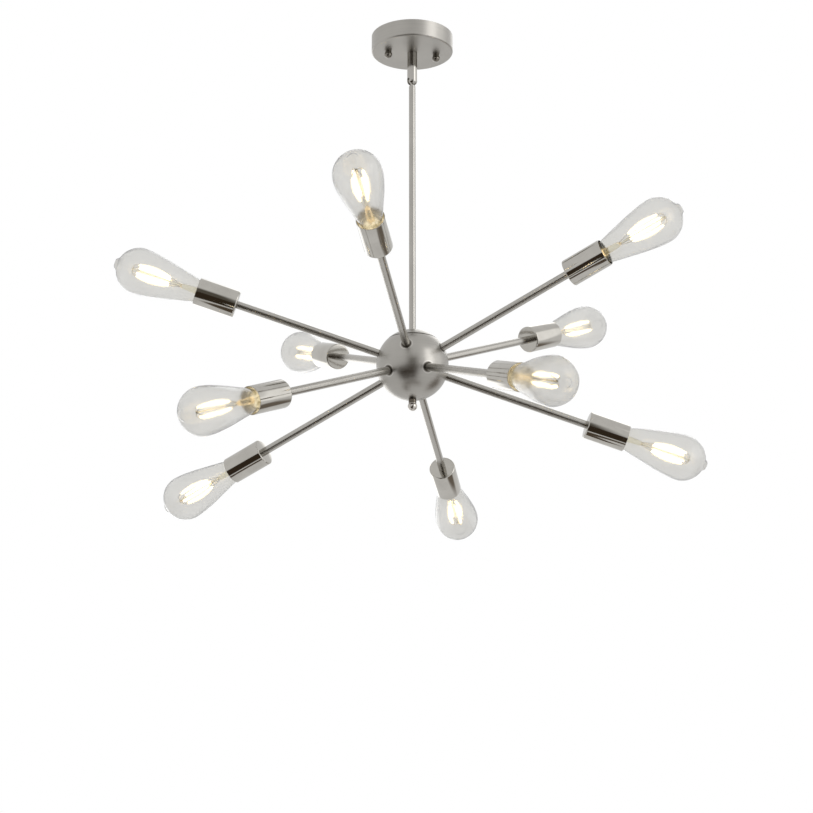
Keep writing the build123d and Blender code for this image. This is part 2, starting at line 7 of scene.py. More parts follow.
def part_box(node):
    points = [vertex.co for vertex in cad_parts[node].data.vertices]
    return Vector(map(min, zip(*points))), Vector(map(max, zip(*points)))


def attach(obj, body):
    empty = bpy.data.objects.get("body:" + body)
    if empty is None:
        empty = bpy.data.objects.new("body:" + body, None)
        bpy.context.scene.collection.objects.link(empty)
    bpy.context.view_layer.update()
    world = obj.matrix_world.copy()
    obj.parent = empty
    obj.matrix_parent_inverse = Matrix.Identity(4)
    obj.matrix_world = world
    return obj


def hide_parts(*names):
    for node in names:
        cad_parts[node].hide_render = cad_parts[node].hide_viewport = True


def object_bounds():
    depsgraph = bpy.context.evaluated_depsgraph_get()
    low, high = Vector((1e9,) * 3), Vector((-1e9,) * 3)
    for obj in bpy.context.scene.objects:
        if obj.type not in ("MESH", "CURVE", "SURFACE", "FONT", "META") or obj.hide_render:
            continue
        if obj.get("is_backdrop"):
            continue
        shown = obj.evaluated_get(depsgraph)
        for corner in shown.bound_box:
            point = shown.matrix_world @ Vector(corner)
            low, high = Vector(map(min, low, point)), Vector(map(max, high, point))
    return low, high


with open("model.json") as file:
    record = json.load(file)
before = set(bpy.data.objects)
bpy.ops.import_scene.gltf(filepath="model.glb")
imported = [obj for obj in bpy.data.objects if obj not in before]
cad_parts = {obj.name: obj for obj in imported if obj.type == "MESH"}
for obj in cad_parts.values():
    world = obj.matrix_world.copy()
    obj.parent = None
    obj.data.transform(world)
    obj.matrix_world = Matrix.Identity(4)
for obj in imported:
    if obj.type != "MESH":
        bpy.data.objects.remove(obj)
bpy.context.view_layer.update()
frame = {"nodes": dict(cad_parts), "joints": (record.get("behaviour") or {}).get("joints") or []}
MM = 0.001


# --- Ceiling fixings --------------------------------------------------------------------------
# The cross bar, its two studs and earth screw, and the swivel's nipple, washer and lock nut.
# Pressed and turned steel, bright zinc plated. The canopy hides them from below.

class Shade:
    """One output of a shader node. Arithmetic on it adds Math nodes to the same material."""

    def __init__(self, tree, socket=None):
        self.tree = tree
        self.socket = socket

    def node(self, kind, settings=None, inputs=None, out=0):
        """Adds a node, its settings first, then a value or a link for each socket."""
        made = self.tree.nodes.new("ShaderNode" + kind)
        for key, value in (settings or {}).items():
            if key == "stops":
                ramp = made.color_ramp.elements
                ramp[0].position, ramp[0].color = value[0][0], (*value[0][1], 1)
                ramp[1].position, ramp[1].color = value[-1][0], (*value[-1][1], 1)
                for place, colour in value[1:-1]:
                    ramp.new(place).color = (*colour, 1)
            else:
                setattr(made, key, value)
        for key, value in (inputs or {}).items():
            if isinstance(value, Shade):
                self.tree.links.new(value.socket, made.inputs[key])
            else:
                made.inputs[key].default_value = value
        return Shade(self.tree, made.outputs[out] if made.outputs else None)

    def math(self, operation, *others):
        return self.node("Math", {"operation": operation}, dict(enumerate((self, *others))))

    def __add__(self, other):
        return self.math("ADD", other)

    def __sub__(self, other):
        return self.math("SUBTRACT", other)

    def __rsub__(self, other):
        return self.node("Math", {"operation": "SUBTRACT"}, {0: other, 1: self})

    def __mul__(self, other):
        return self.math("MULTIPLY", other)

    def times(self, vector):
        """This vector with each part multiplied by that of another."""
        return self.node("VectorMath", {"operation": "MULTIPLY"}, {0: self, 1: vector})

    def noise(self, scale, detail=2.0):
        """Soft random value about 0.5 over this vector."""
        return self.node("TexNoise", {}, {"Vector": self, "Scale": scale, "Detail": detail})

    def between(self, low, high):
        """0 at low, 1 at high, and evenly in between."""
        inputs = {"Value": self, "From Min": low, "From Max": high}
        return self.node("MapRange", {"clamp": True}, inputs)

    def mix(self, first, second):
        """Colour that goes from the first to the second as this value goes from 0 to 1."""
        pair = [(*c, 1) if isinstance(c, tuple) else c for c in (first, second)]
        return self.node("Mix", {"data_type": "RGBA"}, {0: self, 6: pair[0], 7: pair[1]}, 2)

    def bump(self, depth):
        """Normal of a surface whose height in metres is this value times depth."""
        return self.node("Bump", {}, {"Height": self, "Distance": depth, "Strength": 1.0})

    def surface(self, inputs):
        """Ends the material in one Principled surface."""
        skin = self.node("BsdfPrincipled", {}, inputs)
        self.node("OutputMaterial", {}, {"Surface": skin})


def finish(name):
    """A new material, with its object coordinates to write the finish on."""
    made = bpy.data.materials.new(name)
    made.use_nodes = True
    made.node_tree.nodes.clear()
    return made, Shade(made.node_tree).node("TexCoord", {}, {}, "Object")


def dress(material, *names):
    """Gives CAD nodes that keep their own shape their finish."""
    for name in names:
        for slot in frame["nodes"][name].material_slots:
            slot.material = material


zinc, place = finish("bright zinc on steel")
spangle = place.noise(900, 3)
stain = place.noise(70, 4)
zinc_colour = stain.between(0.35, 0.65).mix((0.56, 0.57, 0.60), (0.66, 0.65, 0.60))
place.surface({"Base Color": zinc_colour, "Metallic": 1.0, "Roughness": spangle * 0.25 + stain * 0.2 + 0.08,
               "Normal": spangle.bump(0.00002)})
dress(zinc, "mounting_bracket", "ground_screw", "canopy_studs", "swivel_nipple", "swivel_washer",
      "swivel_lock_nut", "hub_spindle", "arm_nuts")


# --- Canopy -----------------------------------------------------------------------------------
# A pan pressed from sheet steel and plated in satin nickel. It was brushed round on its wall
# and straight across on its face, and two ball nuts pull it up against the ceiling.

NICKEL = (0.49, 0.472, 0.438)


def satin(place, grain, rough, tone=1.0, painted_shade=None, painted_highlight=None):
    """Satin nickel: fine scratches one way and cloudy polish, darkened where painted shade is given and
    brightened where a painted highlight is given.
    """
    scratch = place.times(grain).noise(1.0, 4)
    coarse = place.times(tuple(g * 0.23 for g in grain)).noise(1.0, 2)
    cloud = place.noise(26, 3)
    worn = cloud.between(0.3, 0.7)
    light = tuple(c * tone * 1.06 for c in NICKEL)
    dull = tuple(c * tone * 0.90 for c in NICKEL)
    lay = scratch * 0.6 + coarse * 0.4
    colour = (lay * 0.7 + worn * 0.3).between(0.3, 0.7).mix(dull, light)
    roughness = (lay - 0.5) * 0.22 + (cloud - 0.5) * 0.12 + rough
    # Painted shade pulls the colour towards near black, and a painted highlight pulls it towards pale nickel.
    if painted_shade:
        colour = painted_shade.mix(colour, (0.10, 0.09, 0.075))
    if painted_highlight:
        colour = painted_highlight.mix(colour, (0.85, 0.82, 0.78))
    place.surface({"Base Color": colour, "Metallic": 1.0, "Roughness": roughness,
                   "Normal": lay.bump(0.000012)})


canopy_satin, place = finish("canopy satin nickel")
satin(place, (9, 9, 1500), 0.36, 0.94)
dress(canopy_satin, "canopy")

polished, place = finish("polished nickel")
smear = place.noise(45, 4)
hairline = place.times((1400, 1400, 25)).noise(1.0, 3)
shine = smear.between(0.35, 0.7).mix((0.545, 0.525, 0.485), (0.48, 0.462, 0.425))
place.surface({"Base Color": shine, "Metallic": 1.0, "Roughness": smear * 0.10 + hairline * 0.06 + 0.01,
               "Normal": hairline.bump(0.0000005)})

dulled, place = finish("dulled nickel")
dull_patch = place.noise(60, 4).between(0.35, 0.7)
place.surface({"Base Color": dull_patch.mix((0.26, 0.24, 0.21), (0.17, 0.155, 0.135)), "Metallic": 1.0,
               "Roughness": dull_patch * 0.12 + 0.12, "Normal": place.noise(500, 2).bump(0.000006)})
dress(dulled, "canopy_ball_nuts")


# --- Swivel -----------------------------------------------------------------------------------
# The ball joint that lets the stem hang straight: a tube with a rounded, slotted end, turned
# from steel and nickel plated, and the polished ball of the stem's stud that shows in it.

swivel_satin, place = finish("swivel satin nickel")
satin(place, (1100, 1100, 30), 0.12, 0.98)
dress(swivel_satin, "swivel_cup")
dress(polished, "stem_knuckle")


# --- Stem and ball ----------------------------------------------------------------------------
# The stem is a straight tube. The ball is two spinnings that meet at a seam near the top, and
# a polished knob under it pulls all of it together. Satin nickel, brushed round the ball.

stem_satin, place = finish("stem satin nickel")
satin(place, (1500, 1500, 14), 0.27, 0.97)
dress(stem_satin, "stem_rod")

HUB = Vector((0, 0, -497.0 * MM))
BALL_RADIUS = 50.0
SEAM_LATITUDE = radians(45)
ARMS = range(1, 11)


def arm_axis(number):
    """Direction of an arm, outward from the ball's centre."""
    feed = next(joint for joint in frame["joints"] if joint["name"] == f"bulb_feed_{number}")
    return Vector(feed["axis"]).normalized()


ball_satin, place = finish("ball satin nickel")
out = place.node("VectorMath", {"operation": "SUBTRACT"}, {0: place, 1: HUB})
out = out.node("VectorMath", {"operation": "NORMALIZE"}, {0: out})
toward_arms = [out.node("VectorMath", {"operation": "DOT_PRODUCT"}, {0: out, 1: arm_axis(number)}, "Value")
               for number in ARMS]
near = toward_arms[0]
for toward_arm in toward_arms[1:]:
    near = near.math("MAXIMUM", toward_arm)
from_arm = near.math("ARCCOSINE") * BALL_RADIUS
latitude = out.node("SeparateXYZ", {}, {0: out}, 2).math("ARCSINE")
from_seam = (latitude * BALL_RADIUS - SEAM_LATITUDE * BALL_RADIUS).math("ABSOLUTE")
# Painted shade: the colour is darkened in a ring round each arm where it meets the ball, and along the seam
# groove, where shade falls.
painted_shade = from_arm.between(8.0, 6.2).math("MAXIMUM", from_seam.between(2.0, 0.9))
# Painted highlight: a thin pale ring just outside the painted shade round each arm.
painted_highlight = from_arm.between(9.4, 8.6) * from_arm.between(7.8, 8.2) * 0.35
satin(place, (14, 14, 1100), 0.33, 0.92, painted_shade, painted_highlight)
dress(ball_satin, "hub_shell", "hub_cap")

COLLAR_START = 10.2
knob, place = finish("polished knob")
up = place.node("SeparateXYZ", {}, {0: place}, 2) - (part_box("finial")[0].z + COLLAR_START * MM)
# Above COLLAR_START the collar is painted near black: painted shade where it sits under the ball.
knob_colour_and_painted_shade = (up * (1 / MM)).between(0.0, 0.7).mix((0.58, 0.55, 0.51), (0.12, 0.105, 0.085))
place.surface({"Base Color": knob_colour_and_painted_shade, "Metallic": 1.0, "Roughness": place.noise(80, 3) * 0.1 + 0.02,
               "Normal": place.noise(700, 2).bump(0.000004)})
dress(knob, "finial")


# --- Arms -------------------------------------------------------------------------------------
# Ten straight steel tubes in satin nickel, brushed along their length. Each is turned down and
# threaded at both ends, for a nut inside the ball and for the lampholder inside its cup.

def out_along(number):
    """Matrix of an arm's own axes: Z from the ball's centre outward, X level."""
    out = arm_axis(number)
    level = Vector((0, 0, 1)).cross(out).normalized()
    turn = Matrix((level, out.cross(level), out)).transposed().to_4x4()
    return Matrix.Translation(HUB) @ turn


def rounded(*corners):
    """Outline in (radius, height) from corners, each with the radius of its rounding."""
    outline = []
    for i, (r, z, rounding) in enumerate(corners):
        here = Vector((r, z))
        back = (Vector(corners[i - 1][:2]) - here).normalized()
        on = (Vector(corners[(i + 1) % len(corners)][:2]) - here).normalized()
        if rounding == 0:
            outline.append((r, z))
            continue
        half = back.angle(on) / 2
        centre = here + (back + on).normalized() * (rounding / sin(half))
        first = here + back * (rounding / tan(half)) - centre
        sweep = first.angle_signed(here + on * (rounding / tan(half)) - centre)
        steps = max(3, ceil(abs(sweep) / radians(15)))
        for step in range(steps + 1):
            angle = -sweep * step / steps
            point = centre + Matrix.Rotation(angle, 2) @ first
            outline.append((point.x, point.y))
    return outline


def turned(name, outline, sides, closed=True, sharp=35):
    """Mesh turned round Z from an outline in millimetres that runs up its outer side."""
    points, rings, faces = [], [], []
    for r, z in outline:
        count = sides if r > 1e-6 else 1
        rings.append(range(len(points), len(points) + count))
        points += [(r * cos(2 * pi * i / sides) * MM, r * sin(2 * pi * i / sides) * MM, z * MM)
                   for i in range(count)]
    joins = list(zip(rings, rings[1:])) + ([(rings[-1], rings[0])] if closed else [])
    for low, high in joins:
        for i in range(sides):
            j = (i + 1) % sides
            loop = (low[i % len(low)], low[j % len(low)], high[j % len(high)], high[i % len(high)])
            corners = tuple(dict.fromkeys(loop))
            if len(corners) > 2:
                faces.append(corners)
    mesh = bpy.data.meshes.new(name)
    mesh.from_pydata(points, [], faces)
    mesh.shade_smooth()
    mesh.set_sharp_from_angle(angle=radians(sharp))
    return mesh


def fit(name, mesh, number, body, node):
    """Puts a mesh drawn along an arm's axis in its place, in the stead of a CAD node."""
    piece = bpy.data.objects.new(name, mesh)
    bpy.context.scene.collection.objects.link(piece)
    piece.matrix_world = out_along(number)
    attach(piece, body)
    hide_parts(node)
    return piece


arm_satin, place = finish("arm satin nickel")
satin(place, (1700, 1700, 16), 0.25, 1.0)
INNER_END, SHOULDER, CUP_BACK, OUTER_END = 40.2, 49.507, 256.0, 268.0
BORE, SPIGOT, TUBE = 3.0, 4.45, 5.5
arm_mesh = turned("arm", rounded(
    (BORE, INNER_END, 0), (SPIGOT, INNER_END, 0.3), (SPIGOT, SHOULDER, 0), (TUBE, SHOULDER, 0.3),
    (TUBE, CUP_BACK, 0.3), (SPIGOT, CUP_BACK, 0), (SPIGOT, OUTER_END, 0.3), (BORE, OUTER_END, 0)), 64)
arm_mesh.materials.append(arm_satin)
for number in ARMS:
    fit(f"arm_tube_{number}", arm_mesh, number, "pendant", f"arm_{number}")


# --- Socket cups ------------------------------------------------------------------------------
# Each arm ends in a cup drawn from steel sheet, with a flat back, rounded at its edge, and a
# thin rolled lip. Polished nickel, held between the arm's shoulder and the lampholder.

CUP_MOUTH = 314.0
CUP_OUTSIDE, CUP_INSIDE = 19.0, 18.1
CUP_FLOOR = CUP_BACK + 1.2
SPIGOT_HOLE = 4.55
cup_mesh = turned("cup", rounded(
    (SPIGOT_HOLE, CUP_BACK, 0), (CUP_OUTSIDE, CUP_BACK, 2.0), (CUP_OUTSIDE, CUP_MOUTH, 0.35),
    (CUP_INSIDE, CUP_MOUTH, 0.35), (CUP_INSIDE, CUP_FLOOR, 1.1), (SPIGOT_HOLE, CUP_FLOOR, 0)), 128)
cup_mesh.materials.append(polished)
for number in ARMS:
    fit(f"socket_cup_{number}", cup_mesh, number, "pendant", "socket_cups")


# --- Lampholders ------------------------------------------------------------------------------
# Cream glazed ceramic bodies screwed onto the arms' ends, with a brass screw shell and a
# riveted brass contact in each. They show as a pale ring deep in the mouth of the cup.

glaze, place = finish("cream glazed ceramic")
speck = place.noise(700, 2)
pool = place.noise(60, 3)
body_colour = pool.between(0.3, 0.7).mix((0.80, 0.74, 0.58), (0.88, 0.84, 0.72))
glazed = speck.between(0.66, 0.74).mix(body_colour, (0.42, 0.34, 0.24))
# The glaze's warm emission is painted light: the glow of the bulb falling on it in the cup.
place.surface({"Base Color": glazed, "Roughness": pool * 0.25 + 0.12, "Normal": pool.bump(0.0002),
               "Emission Color": pool.mix((0.55, 0.45, 0.27), (0.80, 0.70, 0.48)), "Emission Strength": 0.7})

HOLDER_FACE = 304.0
BORE_FLOOR, PLATE_BACK, SPACE_FLOOR = 275.5, 271.0, 260.7
HOLDER_OUTSIDE, SHELL_BORE, WIRE_SPACE, RIVET_HOLE = 16.5, 14.1, 12.5, 1.6
holder_mesh = turned("lampholder", rounded(
    (SPIGOT_HOLE, CUP_FLOOR, 0), (HOLDER_OUTSIDE, CUP_FLOOR, 1.5), (HOLDER_OUTSIDE, HOLDER_FACE, 1.0),
    (SHELL_BORE, HOLDER_FACE, 0.6), (SHELL_BORE, BORE_FLOOR, 0), (RIVET_HOLE, BORE_FLOOR, 0),
    (RIVET_HOLE, PLATE_BACK, 0), (WIRE_SPACE, PLATE_BACK, 0), (WIRE_SPACE, SPACE_FLOOR, 0),
    (SPIGOT_HOLE, SPACE_FLOOR, 0)), 96)
holder_mesh.materials.append(glaze)
for number in ARMS:
    fit(f"lampholder_{number}", holder_mesh, number, "pendant", "lampholders")

brass, place = finish("plain brass")
tarnish = place.noise(90, 4)
brass_colour = tarnish.between(0.3, 0.7).mix((0.80, 0.62, 0.30), (0.62, 0.46, 0.22))
place.surface({"Base Color": brass_colour, "Metallic": 1.0, "Roughness": tarnish * 0.3 + 0.12,
               "Normal": tarnish.bump(0.00004)})
dress(brass, "socket_shells", "socket_contacts")


# --- Bulb bases -------------------------------------------------------------------------------
# A screw cap rolled from thin aluminium with a real right-handed thread, a black insulator and
# a soldered centre button, crimped round the neck of the glass.

rolled, place = finish("rolled aluminium")
dent = place.noise(220, 3)
cap_colour = dent.between(0.3, 0.7).mix((0.80, 0.74, 0.60), (0.70, 0.66, 0.56))
place.surface({"Base Color": cap_colour, "Metallic": 1.0, "Roughness": dent * 0.3 + 0.15,
               "Normal": dent.bump(0.00006)})
insulator, place = finish("black glass insulator")
place.surface({"Base Color": place.noise(300, 2).mix((0.012, 0.011, 0.010), (0.03, 0.028, 0.025)),
               "Roughness": place.noise(120, 3) * 0.4 + 0.05})
solder, place = finish("solder button")
place.surface({"Base Color": place.noise(500, 3).mix((0.50, 0.50, 0.50), (0.68, 0.67, 0.65)), "Metallic": 1.0,
               "Roughness": place.noise(800, 3) * 0.4 + 0.2, "Normal": place.noise(900, 3).bump(0.0001)})

CAP_END = 277.5
THREAD_LOW = CAP_END + 5.0
THREAD_ROOT = 12.2
PITCH = 25.4 / 7
SKIRT_BACK, SKIRT_FRONT = 299.5, 305.5
SKIRT_OUTSIDE, SKIRT_INSIDE = 13.3, 12.85
HOLLOW = 11.2
SIDES = 96


def threaded_cap():
    """Grid round the cap: the thread's height goes with the turn, so that it is one helix."""
    rows = [(0, CAP_END), (3.8, CAP_END), (4.3, CAP_END + 0.5), (4.3, CAP_END + 1.2), (9.5, CAP_END + 3.8),
            (THREAD_ROOT, THREAD_LOW)]
    first_thread = len(rows)
    steps = 40
    top = SKIRT_BACK - 0.4
    rows += [(THREAD_ROOT, THREAD_LOW + (top - THREAD_LOW) * (i + 1) / steps) for i in range(steps)]
    last_thread = len(rows)
    rows += [(13.0, SKIRT_BACK), (SKIRT_OUTSIDE, SKIRT_BACK + 0.4), (SKIRT_OUTSIDE, SKIRT_FRONT - 0.3),
             (13.15, SKIRT_FRONT), (SKIRT_INSIDE, SKIRT_FRONT), (SKIRT_INSIDE, SKIRT_BACK + 0.2),
             (HOLLOW, SKIRT_BACK), (HOLLOW, THREAD_LOW + 2.0), (0, THREAD_LOW + 2.0)]
    mesh = turned("cap", rows, SIDES, closed=False, sharp=50)
    for row in range(first_thread, last_thread):
        height = rows[row][1]
        ease = min(1.0, (height - THREAD_LOW) / 1.5, (top - height) / 1.5)
        for i in range(SIDES):
            point = mesh.vertices[1 + (row - 1) * SIDES + i]
            along = (height - THREAD_LOW) / PITCH - i / SIDES
            crest = 0.5 - 0.5 * cos(2 * pi * along)
            radius = (12.15 + 0.85 * crest * max(0.0, ease)) * MM
            point.co.x, point.co.y = radius * cos(2 * pi * i / SIDES), radius * sin(2 * pi * i / SIDES)
    return mesh


cap_mesh = threaded_cap()
for skin in (rolled, insulator, solder):
    cap_mesh.materials.append(skin)
for face in cap_mesh.polygons:
    height = face.center.z / MM - CAP_END
    outer = Vector(face.center[:2]).length / MM
    if height < 1.3 and outer < 5:
        face.material_index = 2
    elif height < 4.0:
        face.material_index = 1
for number in ARMS:
    fit(f"bulb_cap_{number}", cap_mesh, number, f"bulb_screw_{number}", f"bulb_base_{number}")


# --- Bulb glass -------------------------------------------------------------------------------
# A clear teardrop blown in one thin piece: neck, straight flank, round crown and the pip where
# it was sealed off. Its wall is thicker, and so darker, at the neck and the pip, where a warmer tint is
# painted light of the filaments.

NECK, CROWN, WIDEST, TIP = 12.75, 32.0, 397.5, 433.0
CROWN_SWEEP = 70.85
FLANK = [(NECK, SKIRT_FRONT), (15.8, CUP_MOUTH), (22.5, 341.83), (28.6, 369.67), (CROWN, WIDEST)]
GLASS_WALL = 0.45


def eased(points, steps, start, end):
    """Smooth line through points, with given slopes (radius per height) at its two ends."""
    slopes = [start] + [(b[0] - a[0]) / (b[1] - a[1]) for a, b in zip(points, points[2:])] + [end]
    line = []
    for (r0, z0), (r1, z1), s0, s1 in zip(points, points[1:], slopes, slopes[1:]):
        rise = z1 - z0
        for step in range(steps):
            t = step / steps
            line.append(((2 * t**3 - 3 * t**2 + 1) * r0 + (t**3 - 2 * t**2 + t) * rise * s0
                         + (3 * t**2 - 2 * t**3) * r1 + (t**3 - t**2) * rise * s1, z0 + t * rise))
    return line


def glass_side(inset):
    """Half section of the bulb from its neck to its tip, moved in by inset."""
    line = [(NECK - inset, SKIRT_BACK + 0.05), (NECK - inset, SKIRT_BACK + 3.0)]
    line += [(r - inset, z) for r, z in eased(FLANK, 8, 0.36, 0.0)]
    crown = CROWN - inset
    angles = [radians(step * CROWN_SWEEP / 24) for step in range(25)]
    line += [(crown * cos(angle), WIDEST + crown * sin(angle)) for angle in angles]
    nub = [(9.4, 428.3), (8.3, 429.1), (7.5, 430.0), (6.9, 430.9), (6.3, 431.7), (5.4, 432.3), (4.2, 432.7),
           (2.6, 432.93), (1.2, 432.99)]
    return line + [(r - inset * 0.8, z - inset) for r, z in nub] + [(0, TIP - inset)]


glass_mesh = turned("glass", glass_side(0) + glass_side(GLASS_WALL)[::-1], 128, closed=True, sharp=60)

clear, place = finish("clear blown glass")
height = place.node("SeparateXYZ", {}, {0: place}, 2)
# Darker at the neck and the pip for the thicker wall, and warmer there as painted light of the filaments.
thick_wall_and_painted_glow = 1 - height.between(0.305, 0.340) * (1 - height.between(0.427, 0.433))
cord_lines = place.times((30, 30, 6)).noise(1.0, 2)
tint = (thick_wall_and_painted_glow * 0.6 + cord_lines * 0.3).mix((0.832, 0.829, 0.818), (0.812, 0.802, 0.768))
sealed = height.between(0.419, 0.429)
tint = sealed.mix(tint, (0.76, 0.755, 0.74))
place.surface({"Base Color": tint, "Roughness": 0.15 - sealed * 0.12, "IOR": 1.38, "Transmission Weight": 1.0,
               "Normal": cord_lines.bump(0.002)})
glass_mesh.materials.append(clear)
for number in ARMS:
    envelope = fit(f"bulb_envelope_{number}", glass_mesh, number, f"bulb_{number}", f"bulb_glass_{number}")
    envelope.visible_shadow = False


# --- Filament mounts --------------------------------------------------------------------------
# A flared glass stem fused into the neck, pinched at its top round the lead wires, with a thin
# glass post. Four warm-white filament sticks lean out round the post between nickel wires.

MOUNT_FOOT, FLARE_TOP, POST_TOP = 299.55, 311.0, 409.0
POST = 1.2
stem_mesh = turned("mount", rounded(
    (0, MOUNT_FOOT, 0), (11.8, MOUNT_FOOT, 0.3), (11.8, 302.0, 1.0), (9.0, 304.2, 2.0), (4.6, 311.5, 4.0),
    (3.6, 334.5, 1.5), (POST, 338.5, 0.6), (POST, POST_TOP, 1.1), (0, POST_TOP, 0)), 48, closed=False)
stem_glass, place = finish("stem glass")
# The cream tint of the clear stem glass is painted warm light of the filaments.
place.surface({"Base Color": place.noise(120, 3).mix((0.95, 0.92, 0.80), (0.90, 0.86, 0.72)),
               "Roughness": 0.02, "IOR": 1.5, "Transmission Weight": 1.0})
cement, place = finish("baked cement")
grit = place.noise(260, 4).between(0.38, 0.62)
# The cement's warm emission is painted light: the filaments' light falling on it.
place.surface({"Base Color": grit.mix((0.25, 0.18, 0.08), (0.60, 0.47, 0.26)), "Roughness": grit * 0.2 + 0.6,
               "Emission Color": grit.mix((0.36, 0.28, 0.14), (0.86, 0.76, 0.52)), "Emission Strength": 1.2,
               "Normal": grit.bump(0.0003)})
stem_mesh.materials.append(stem_glass)
stem_mesh.materials.append(cement)
for face in stem_mesh.polygons:
    if face.center.z < FLARE_TOP * MM:
        face.material_index = 1

lit, place = finish("lit filament stick")
chips = place.noise(900, 2)
place.surface({"Base Color": (0.9, 0.75, 0.4, 1), "Roughness": 0.6,
               "Emission Color": chips.between(0.3, 0.7).mix((1.0, 0.80, 0.50), (1.0, 0.88, 0.64)),
               "Emission Strength": 4.0})
# The phosphor coat is drawn much wider than a real one, half clear and glowing: a painted glow round each lit
# stick.
coat_and_glow, place = finish("filament coating")
resin = place.noise(500, 2).between(0.3, 0.7)
place.surface({"Base Color": resin.mix((0.95, 0.82, 0.50), (0.98, 0.90, 0.66)), "Roughness": 0.5,
               "Emission Color": resin.mix((1.0, 0.90, 0.68), (1.0, 0.95, 0.80)), "Emission Strength": 1.0,
               "Alpha": 0.38})
wire_metal, place = finish("nickel lead wire")
place.surface({"Base Color": place.noise(400, 2).mix((0.75, 0.68, 0.52), (0.62, 0.56, 0.44)), "Metallic": 1.0,
               "Roughness": place.noise(600, 2) * 0.3 + 0.2})

LOW, HIGH = (6.0, 353.0), (8.5, 400.0)


def strand(points, radius, sides=10):
    """Round wire along points in millimetres, as (points, faces)."""
    line = [Vector(p) * MM for p in points]
    verts, faces = [], []
    for i, here in enumerate(line):
        ahead = (line[min(i + 1, len(line) - 1)] - line[max(i - 1, 0)]).normalized()
        across = ahead.orthogonal() if i == 0 else across - ahead * across.dot(ahead)
        across.normalize()
        up = ahead.cross(across)
        verts += [here + (across * cos(2 * pi * s / sides) + up * sin(2 * pi * s / sides)) * radius[i] * MM
                  for s in range(sides)]
    for i in range(len(line) - 1):
        for s in range(sides):
            t = (s + 1) % sides
            faces.append((i * sides + s, i * sides + t, (i + 1) * sides + t, (i + 1) * sides + s))
    faces.append(tuple(range(sides))[::-1])
    faces.append(tuple(range(len(verts) - sides, len(verts))))
    return verts, faces


def joined(name, parts):
    """One mesh from (points, faces, material number) parts."""
    verts, faces, looks = [], [], []
    for points, loops, look in parts:
        faces += [tuple(len(verts) + i for i in loop) for loop in loops]
        looks += [look] * len(loops)
        verts += points
    mesh = bpy.data.meshes.new(name)
    mesh.from_pydata(verts, [], faces)
    mesh.shade_smooth()
    mesh.set_sharp_from_angle(angle=radians(50))
    for face, look in zip(mesh.polygons, looks):
        face.material_index = look
    return mesh


def at(angle, radius, height):
    """Point round the post, in millimetres."""
    return (radius * cos(angle), radius * sin(angle), height)


STICKS = 4
BOW = 2.6
WIRE = 0.4
WIRE_TOP = 406.5
COLLAR = 1.5
LIT, METAL, COAT_AND_GLOW = 0, 1, 2
share = [0.0, 0.01, 0.03, 0.08, 0.2, 0.35, 0.5, 0.65, 0.8, 0.92, 0.97, 0.99, 1.0]
core = [0.35, 0.8, 1.05, 1.15, 1.2, 1.2, 1.2, 1.2, 1.2, 1.15, 1.05, 0.8, 0.35]
coating_and_glow = [0.5, 1.0, 1.5, 2.1, 2.7, 3.0, 3.2, 3.0, 2.7, 2.1, 1.6, 1.0, 0.5]
parts = []
for quarter in range(STICKS):
    angle = radians(45 + 90 * quarter)
    stick = [at(angle, LOW[0] + (HIGH[0] - LOW[0]) * s + BOW * sin(pi * s), LOW[1] + (HIGH[1] - LOW[1]) * s)
             for s in share]
    parts.append((*strand(stick, core, 14), LIT))
    parts.append((*strand(stick, coating_and_glow, 18), COAT_AND_GLOW))
    foot = [at(angle, radius, height)
            for radius, height in ((1.5, 336.0), (2.6, 339.5), (3.9, 344.0), (5.1, 349.0), (6.0, 353.4))]
    parts.append((*strand(foot, [WIRE] * len(foot)), METAL))
    head = [at(angle, radius, height)
            for radius, height in ((0.9, WIRE_TOP), (3.2, 407.0), (6.0, 406.0), (7.9, 403.4), (8.5, 399.6))]
    parts.append((*strand(head, [WIRE] * len(head)), METAL))
collar = [at(a * pi / 8, COLLAR, WIRE_TOP) for a in range(17)]
parts.append((*strand(collar, [WIRE] * len(collar)), METAL))
filament_mesh = joined("filaments", parts)
for skin in (lit, wire_metal, coat_and_glow):
    filament_mesh.materials.append(skin)

for number in ARMS:
    mount = f"bulb_filament_{number}"
    stem = fit(f"bulb_stem_{number}", stem_mesh, number, f"bulb_{number}", mount)
    stem.visible_shadow = False
    fit(f"bulb_filaments_{number}", filament_mesh, number, f"bulb_{number}", mount)


# --- Studio -----------------------------------------------------------------------------------
# A pale floor below, a white surround and three large soft lamps. Dark and light patches of the
# surround, which only the metal shows, give it its bands. The camera looks up from the photo's side.

AIM_AZIMUTH = 259.5


def toward(azimuth, elevation, distance):
    """Point at that distance from the ball, in that direction."""
    a, e = radians(azimuth), radians(elevation)
    return HUB + Vector((cos(a) * cos(e), sin(a) * cos(e), sin(e))) * distance


def only(shade, ray):
    """1 for one kind of ray and 0 for the others."""
    return shade.node("LightPath", {}, {}, f"Is {ray} Ray")


def seen_level(shade, metal, matt):
    """1 where the camera looks straight or through glass, and lower levels for metal and matt."""
    white = only(shade, "Camera").math("MAXIMUM", only(shade, "Transmission"))
    return white.math("MAXIMUM", (only(shade, "Glossy") * metal).math("MAXIMUM", matt))


world = bpy.data.worlds.new("white surround")
bpy.context.scene.world = world
world.use_nodes = True
world.node_tree.nodes.clear()
air = Shade(world.node_tree)
sky = air.node("TexCoord", {}, {}, "Generated")
sky = sky.node("VectorRotate", {"rotation_type": "Z_AXIS"}, {"Vector": sky, "Angle": -radians(AIM_AZIMUTH)})
ahead, aside, above = (sky.node("SeparateXYZ", {}, {0: sky}, part) for part in range(3))
turn = aside.math("ARCTAN2", ahead) * (180 / pi)
rise = above.math("ARCSINE") * (180 / pi)


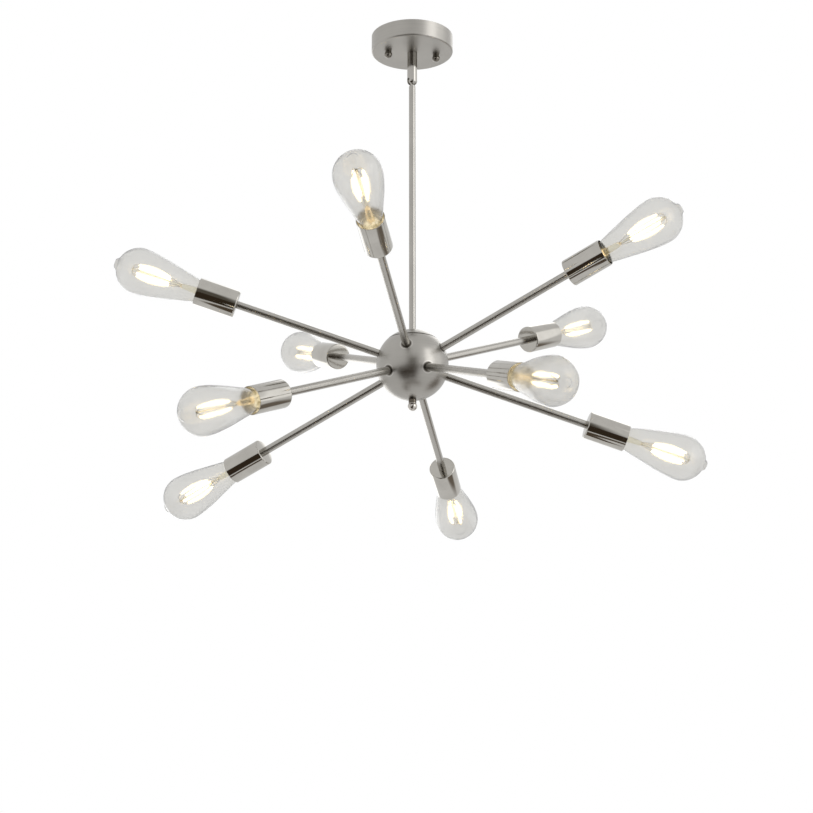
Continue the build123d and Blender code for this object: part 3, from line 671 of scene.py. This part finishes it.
def zone(left, right, low, high, soft_side, soft_end):
    """1 inside a patch of the surround, in degrees from the camera's side and from the level."""
    inside = turn.between(left - soft_side, left) * turn.between(right + soft_side, right)
    return inside * rise.between(low - soft_end, low) * rise.between(high + soft_end, high)


# Left, right, low and high edge in degrees, softness at the sides and at the ends, and colour.
surround = (0.80, 0.80, 0.80)
for left, right, low, high, soft_side, soft_end, colour in (
        (-8, 8, -30, 6, 14, 12, (0.12, 0.11, 0.09)),
        (-56, 18, -58, -18, 5, 3, (0.045, 0.032, 0.020)),
        (-150, 80, -77, -68, 4, 3, (0.10, 0.075, 0.05)),
        (108, 132, -46, -20, 8, 8, (0.20, 0.17, 0.14)),
        (46, 68, -4, 32, 9, 9, (2.3, 2.3, 2.3)),
        (82, 100, -4, 40, 6, 6, (1.3, 1.3, 1.3)),
        (-176, -145, -8, 8, 5, 5, (1.9, 1.9, 1.9)),
        (146, 176, 26, 50, 6, 6, (1.9, 1.9, 1.9))):
    surround = zone(left, right, low, high, soft_side, soft_end).mix(surround, colour)
mirrored = only(air, "Glossy") * (1 - only(air, "Transmission"))
flat = mirrored.mix((1.0, 1.0, 1.0), surround)
light = air.node("Background", {}, {"Color": flat, "Strength": seen_level(air, 1.0, 0.55)})
air.node("OutputWorld", {}, {"Surface": light})

floor_mesh = bpy.data.meshes.new("floor")
floor_mesh.from_pydata([(-14, -14, 0), (14, -14, 0), (14, 14, 0), (-14, 14, 0)], [], [(0, 1, 2, 3)])
floor = bpy.data.objects.new("floor", floor_mesh)
bpy.context.scene.collection.objects.link(floor)
floor.location = (0, 0, -2.4)
floor.visible_glossy = False
floor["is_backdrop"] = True
pale, spot = finish("pale floor")
away = spot.node("VectorMath", {"operation": "LENGTH"}, {0: spot}, "Value").between(1.5, 5.0)
matt = spot.node("BsdfDiffuse", {}, {"Color": spot.noise(2, 2).mix((0.86, 0.86, 0.86), (0.90, 0.90, 0.89))})
white = spot.node("Emission", {}, {"Color": (1, 1, 1, 1), "Strength": seen_level(spot, 0.80, 0.55)})
spot.node("OutputMaterial", {}, {"Surface": spot.node("MixShader", {}, {0: away, 1: matt, 2: white})})
floor_mesh.materials.append(pale)

for name, azimuth, elevation, distance, size, power in (
        ("key", 340, 30, 2.6, 1.4, 9), ("fill", 190, 15, 2.8, 1.4, 6), ("top", 90, 70, 2.4, 1.6, 8)):
    lamp = bpy.data.lights.new(name, "AREA")
    lamp.shape = "SQUARE"
    lamp.size = size
    lamp.energy = power
    lit_from = bpy.data.objects.new(name, lamp)
    bpy.context.scene.collection.objects.link(lit_from)
    lit_from.location = toward(azimuth, elevation, distance)
    lit_from.rotation_mode = "QUATERNION"
    lit_from.rotation_quaternion = (HUB - lit_from.location).to_track_quat("-Z", "Y")
    lit_from.visible_camera = False
    lit_from.visible_glossy = False
    lit_from.visible_transmission = False

camera = bpy.data.objects.new("camera", bpy.data.cameras.new("camera"))
bpy.context.scene.collection.objects.link(camera)
camera.location = toward(AIM_AZIMUTH, -17.5, 3.040)
look_azimuth, look_pitch = radians(79.663), radians(16.418)
look = Vector((cos(look_azimuth) * cos(look_pitch), sin(look_azimuth) * cos(look_pitch), sin(look_pitch)))
camera.rotation_mode = "QUATERNION"
camera.rotation_quaternion = look.to_track_quat("-Z", "Y")
camera.data.lens = 97.33
camera.data.sensor_width = 36.0
camera.data.clip_start = 0.05
bpy.context.scene.camera = camera
bpy.context.scene.view_settings.view_transform = "Standard"

low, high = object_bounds()
